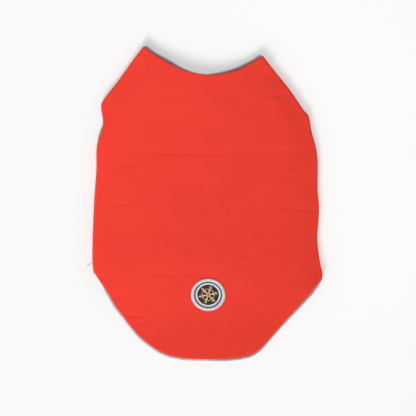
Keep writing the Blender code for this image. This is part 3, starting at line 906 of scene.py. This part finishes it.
def badge_border():
    """The badge's overlocked border: slanted wraps of thread over a filling cord."""
    middle = BADGE_RADIUS - BORDER_WIDTH / 2
    turns = [number / BORDER_WRAPS * math.tau for number in range(BORDER_WRAPS)]
    places = []
    for turn in turns:
        slanted = Matrix.Rotation(turn + WRAP_SLANT, 4, "Z")
        places.append(Matrix.Translation(on_badge(middle, turn)) @ slanted)
    wraps = copied(wrap_model(), "badge_edge", places)
    path = np.array([on_badge(middle, turn) for turn in turns])
    filling = tube("badge_filling", path, BORDER_WIDTH - WRAPPED * BORDER_THREAD, closed=True)
    filling.data.transform(Matrix.Diagonal((1, 1, FILLING_FLATNESS, 1)))
    return joined([filling, wraps], "badge_edge")


def badge_ground():
    """The badge's woven ground: a thin disc whose rim lies under the border."""
    ground = filled_circle(96, BADGE_RADIUS - BORDER_WIDTH / 2)
    for _ in range(10):
        bpy.ops.mesh.inset(thickness=1.5)
    bpy.ops.mesh.select_all(action="SELECT")
    bpy.ops.mesh.extrude_region_move(TRANSFORM_OT_translate={"value": (0, 0, GROUND_LIFT - UNDER_GROUND)})
    face_outwards()
    bpy.ops.object.mode_set(mode="OBJECT")
    ground.name = "badge_cloth"
    return ground


def sewn_on(piece, lift):
    """Stretches a flat piece of the badge and lays it on the back, this high above the cloth."""
    stretched = Matrix.Diagonal((BADGE_STRETCH, 1, 1, 1))
    piece.data.transform(Matrix.Translation((*BADGE_CENTRE, lift)) @ stretched)
    places = np.array([vertex.co.xy for vertex in piece.data.vertices])
    for vertex, height in zip(piece.data.vertices, back_top(places)):
        vertex.co.z += height
    return piece


# Materials


class Finish:
    """A material in the making."""

    def __init__(self, name, **constants):
        self.material = bpy.data.materials.new(name)
        self.material.use_nodes = True
        self.tree = self.material.node_tree
        self.shader = self.tree.nodes["Principled BSDF"]
        for socket, value in constants.items():
            self.feed(self.shader, socket.replace("_", " "), value)

    def node(self, kind, settings, sockets, output=0):
        """Adds a node with these settings and sockets, and gives one of its outputs."""
        made = self.tree.nodes.new("ShaderNode" + kind)
        for setting, value in settings.items():
            setattr(made, setting, value)
        for socket, value in sockets.items():
            self.feed(made, socket, value)
        return Socket(self, made.outputs[output])

    def feed(self, node, socket, value):
        if isinstance(value, Socket):
            self.tree.links.new(value.socket, node.inputs[socket])
        else:
            node.inputs[socket].default_value = value

    def place(self, turn=0.0, scale=(1, 1, 1)):
        """The place on the piece, in millimetres, turned about Z."""
        here = self.node("TexCoord", {}, {}, "Object")
        return here.mapped(turn, [each / MM for each in scale])

    def mixed(self, share, first, second):
        """A colour between two others, which the Mix node has at sockets 6, 7 and 2."""
        sockets = {0: share, 6: (*first, 1), 7: (*second, 1)}
        return self.node("Mix", {"data_type": "RGBA"}, sockets, 2)

    def done(self, tone, dark, light, roughness, height, depth):
        """The material, with its colour by tone, its roughness, and its height as a bump of a depth in
        millimetres. Tone and height go from 0 to 1."""
        bump = {"Height": height, "Distance": depth * MM, "Strength": 1.0}
        self.feed(self.shader, "Base Color", self.mixed(tone, dark, light))
        self.feed(self.shader, "Roughness", roughness)
        self.feed(self.shader, "Normal", self.node("Bump", {}, bump))
        return self.material


class Socket:
    """One output of a node, on which sums can be written."""

    def __init__(self, finish, socket):
        self.finish = finish
        self.socket = socket

    def math(self, operation, first, second):
        return self.finish.node("Math", {"operation": operation}, {0: first, 1: second})

    def __add__(self, other):
        return self.math("ADD", self, other)

    def __mul__(self, other):
        return self.math("MULTIPLY", self, other)

    def __rsub__(self, other):
        return self.math("SUBTRACT", other, self)

    def __truediv__(self, other):
        return self.math("DIVIDE", self, other)

    __radd__, __rmul__ = __add__, __mul__

    def mapped(self, turn, scale):
        """These places turned about Z and scaled."""
        sockets = {"Vector": self, "Rotation": (0, 0, turn), "Scale": scale}
        return self.finish.node("Mapping", {"vector_type": "POINT"}, sockets)

    def clouds(self, size, detail=2.0, roughness=0.5):
        """Noise from 0 to 1, in clouds of about this size in millimetres."""
        sockets = {"Vector": self, "Scale": 1 / size, "Detail": detail, "Roughness": roughness}
        return self.finish.node("TexNoise", {}, sockets)

    def ribs(self, pitch, direction, wander=0.0):
        """Ribs from 0 to 1, at this pitch in millimetres."""
        # The node has 20 / tau ribs to a unit of length
        sockets = {"Vector": self, "Scale": math.tau / 20 / pitch, "Distortion": wander, "Detail": 1.0}
        settings = {"wave_type": "BANDS", "bands_direction": direction, "wave_profile": "SIN"}
        return self.finish.node("TexWave", settings, sockets, "Fac")


def red_cloth():
    """Matte peached cloth: a plain weave under a short nap, rubbed a little lighter in places."""
    finish = Finish("red_cloth", Sheen_Weight=0.08, Sheen_Roughness=0.6, Specular_IOR_Level=0.15)
    here = finish.place()
    weave = here.ribs(0.42, "X", 0.6) * here.ribs(0.46, "Y", 0.6)
    slubs = finish.place(scale=(0.18, 1, 1)).clouds(1.1, 3.0)
    nap = here.clouds(0.35, 4.0, 0.7)
    rubbed = here.clouds(34.0, 3.0)
    dimples = here.clouds(3.2)
    tone = 0.45 * rubbed + 0.2 * slubs + 0.2 * nap + 0.15 * weave
    relief = 0.35 * weave + 0.25 * slubs + 0.4 * nap + dimples
    dark, light = (0.765, 0.036, 0.020), (0.855, 0.048, 0.029)
    return finish.done(tone, dark, light, 0.8 + 0.12 * nap, relief, 0.09)


def grey_ribbon():
    """Grey reflective ribbon, cut on the bias, so that its weave runs slantwise."""
    finish = Finish("grey_ribbon", Metallic=0.25, Specular_IOR_Level=0.4)
    along_cord = finish.node("UVMap", {"uv_map": "ribbon"}, {})
    here = along_cord.mapped(math.radians(45), (1, 1, 1))
    weave = here.ribs(0.34, "X", 0.2) * here.ribs(0.34, "Y", 0.2)
    beads, worn = here.clouds(0.12, 2.0, 0.8), here.clouds(7.0, 3.0)
    tone = 0.4 * worn + 0.35 * beads + 0.25 * weave
    dark, light = (0.30, 0.29, 0.295), (0.46, 0.45, 0.455)
    return finish.done(tone, dark, light, 0.42 + 0.25 * worn, 0.6 * weave + 0.4 * beads, 0.05)


def twill_ground():
    """The badge's black ground, woven in a fine slanting twill."""
    finish = Finish("twill_ground", Sheen_Weight=0.1, Specular_IOR_Level=0.3)
    twill = finish.place(turn=math.radians(50)).ribs(0.55, "X", 0.8)
    fluff = finish.place().clouds(0.7, 3.0)
    tone = 0.6 * twill + 0.4 * fluff
    return finish.done(tone, (0.010, 0.010, 0.012), (0.030, 0.029, 0.033), 0.6 + 0.2 * fluff, twill, 0.12)


def thread(name, dark, light, gloss=0.4):
    """Spun thread: fine fibres, a little uneven in tone from stitch to stitch."""
    finish = Finish(name, Sheen_Weight=0.15, Specular_IOR_Level=0.35)
    here = finish.place()
    fibres, batches = here.clouds(0.09, 3.0, 0.7), here.clouds(1.3, 1.0)
    return finish.done(0.5 * fibres + 0.5 * batches, dark, light, 1 - gloss - 0.1 * fibres, fibres, 0.05)


# Light, floor and camera

PHOTO_SIZE = 416  # pixels each way
MM_PER_PIXEL = 1.06
PHOTO_MIDDLE = (0.53, -5.3)
OUTLINE_HEIGHT = 6.0  # level of the coat's outline
CAMERA_AWAY = 3.2
SENSOR = 36.0
TABLE_GLOW = 0.39  # the floor's own light
TABLE_EVENING = (0.42, -0.12)  # what each metre to the right and towards the neck adds
EVENING_FADE = 3.3  # how fast that dies away further out
ROOM_LIGHT = 0.57
LAMP_PLACE, LAMP_AIM = (-0.85, -1.5, 1.65), (-0.42, 0.75, 0)
LAMP_SIZE, LAMP_SPREAD, LAMP_STRENGTH = 1.3, math.radians(54), 9.0


def camera():
    """Straight above, with the lens of somebody who stands well back."""
    middle = Vector((*PHOTO_MIDDLE, 0)) * MM + frame_shift()
    across_photo = PHOTO_SIZE * MM_PER_PIXEL * MM
    data = bpy.data.cameras.new("camera")
    data.sensor_width = SENSOR
    data.lens = SENSOR * (CAMERA_AWAY - OUTLINE_HEIGHT * MM) / across_photo
    data.clip_end = 50.0
    made = linked("camera", data)
    made.location = (middle.x, middle.y, CAMERA_AWAY)
    bpy.context.scene.camera = made


def pale_paper():
    """Pale paper with the faintest tooth, lit through from below, and a little more away from the lamp, so
    that it looks evenly white all round the coat."""
    finish = Finish("pale_paper", Roughness=0.9, Specular_IOR_Level=0.1, Emission_Strength=1.0)
    tooth = finish.place().clouds(3.0, 3.0)
    finish.feed(finish.shader, "Base Color", finish.mixed(tooth, (0.54, 0.54, 0.54), (0.56, 0.56, 0.56)))
    here = finish.node("TexCoord", {}, {}, "Object")
    x, y = (finish.node("SeparateXYZ", {}, {"Vector": here}, axis) for axis in "XY")
    fading = 1 + (x * x + y * y) * EVENING_FADE
    glow = TABLE_GLOW + (TABLE_EVENING[0] * x + TABLE_EVENING[1] * y) / fading
    finish.feed(finish.shader, "Emission Color", finish.node("CombineXYZ", {}, {0: glow, 1: glow, 2: glow}))
    return finish.material


def floor():
    bpy.ops.mesh.primitive_plane_add(size=12.0, location=(0, 0, 0))
    made = bpy.context.object
    made.name = "floor"
    made.data.materials.append(pale_paper())


def studio():
    world = bpy.data.worlds.new("studio")
    world.use_nodes = True
    background = world.node_tree.nodes["Background"]
    background.inputs["Color"].default_value = (1.0, 1.0, 1.0, 1.0)
    background.inputs["Strength"].default_value = ROOM_LIGHT
    bpy.context.scene.world = world
    lamp = bpy.data.lights.new("key", "AREA")
    lamp.shape, lamp.size = "SQUARE", LAMP_SIZE
    lamp.spread, lamp.energy = LAMP_SPREAD, LAMP_STRENGTH
    key = linked("key", lamp)
    key.location = LAMP_PLACE
    key.rotation_euler = (Vector(LAMP_AIM) - Vector(LAMP_PLACE)).to_track_quat("-Z", "Y").to_euler()
    bpy.context.scene.view_settings.view_transform = "Standard"


# The coat


def sewing():
    """The seams' stitches and the loose end of thread."""
    red = thread("red_thread", (0.74, 0.034, 0.019), (0.85, 0.046, 0.028))
    stitches = dressed(seam_stitches(), red, "red_cloth")
    end = dressed(
        tube("thread_end", curve_through(THREAD_END, 6), THREAD_END_THICK, sides=8),
        thread("undyed_thread", (0.26, 0.18, 0.16), (0.38, 0.27, 0.24)),
        "red_cloth",
    )
    return stitches, end


def badge():
    pale = thread("pale_thread", (0.60, 0.60, 0.63), (0.76, 0.75, 0.78))
    orange = thread("orange_thread", (0.80, 0.33, 0.05), (0.95, 0.52, 0.11))
    ground = dressed(sewn_on(badge_ground(), UNDER_GROUND), twill_ground(), "badge_ground", "badge_disc")
    border = dressed(sewn_on(badge_border(), BORDER_LIFT), pale, "badge_thread", "badge_border")
    pale_places, orange_places = snowflake()
    lift = GROUND_LIFT + SATIN_LIFT
    pale_work = copied(stitch_model(), "badge_pale_stitches", pale_places + badge_ring())
    orange_work = copied(stitch_model(), "badge_orange_stitches", orange_places)
    dressed(sewn_on(pale_work, lift), pale, "badge_thread")
    dressed(sewn_on(orange_work, lift), orange, "badge_thread")
    return ground, border, pale_work, orange_work


def dress():
    bpy.ops.object.select_all(action="DESELECT")
    cloth, ribbon = red_cloth(), grey_ribbon()
    belly = belly_rows()
    back = panel("back_cloth", back_rows(), back_top, back_under, lip_height, upwards=True)
    dressed(back, cloth, "red_cloth", "back_panel")
    under = panel("belly_cloth", belly, belly_under, belly_top, belly_lip, upwards=False)
    dressed(under, cloth, "red_cloth", "belly_panel")
    piping = {
        "neck_piping_back": piping_under_edge("neck_ribbon_back", neck_line(), NECK_SHOWN, 1),
        "hem_piping": piping_under_edge("hem_ribbon", hem_line(), HEM_SHOWN, -1),
        "neck_piping_chest": piping_beside_belly("neck_ribbon_chest", belly[-1], 1),
        "belly_hem_piping": piping_beside_belly("belly_hem_ribbon", belly[0], -1),
        "leg_piping_left": leg_piping("left", LEFT_SIDE),
        "leg_piping_right": leg_piping("right", RIGHT_SIDE),
    }
    for node, piece in piping.items():
        dressed(piece, ribbon, "grey_piping", node)
    sewn = [*piping.values(), *sewing(), *badge()]


dress()
floor()
studio()
camera()
